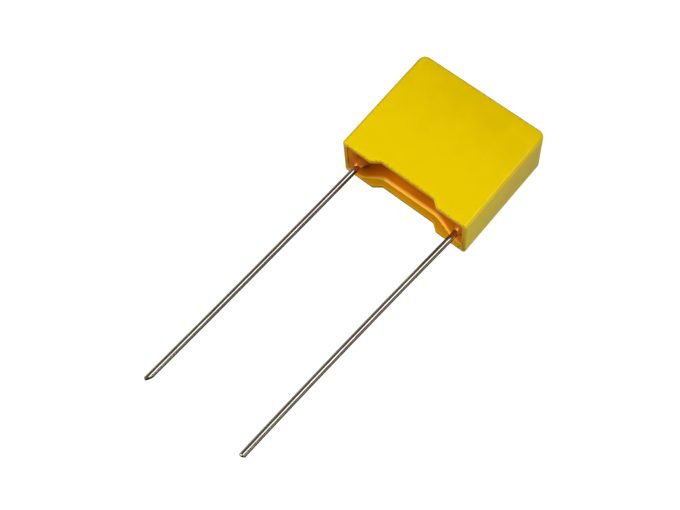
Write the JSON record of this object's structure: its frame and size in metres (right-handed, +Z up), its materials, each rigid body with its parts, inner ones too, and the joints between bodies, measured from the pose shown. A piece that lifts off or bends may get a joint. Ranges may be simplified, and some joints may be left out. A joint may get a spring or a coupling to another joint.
{
  "type": "film capacitor",
  "caption": "Box-type film capacitor: moulded yellow case with a notched stand-off rim, amber potting resin in its open end, and straight tinned wire leads for a through-hole board.",
  "frame": {"origin": "centre of the wide face that the capacitor lies on", "axes": "+X along the row of leads, -Y the way the leads point, +Z up out of the other wide face"},
  "size_m": [0.013, 0.0363, 0.005],
  "materials": {
    "case_plastic": "satin moulded plastic",
    "resin": "glossy cast resin",
    "film": "metallised film",
    "sprayed_metal": "rough sprayed zinc",
    "tinned_wire": "bright drawn and tinned"
  },
  "bodies": {
    "root": {"case": "case_plastic", "potting_resin": "resin", "film_winding": "film", "contact_left": "sprayed_metal", "contact_right": "sprayed_metal", "lead_left": "tinned_wire", "lead_right": "tinned_wire"}
  },
  "joints": []
}
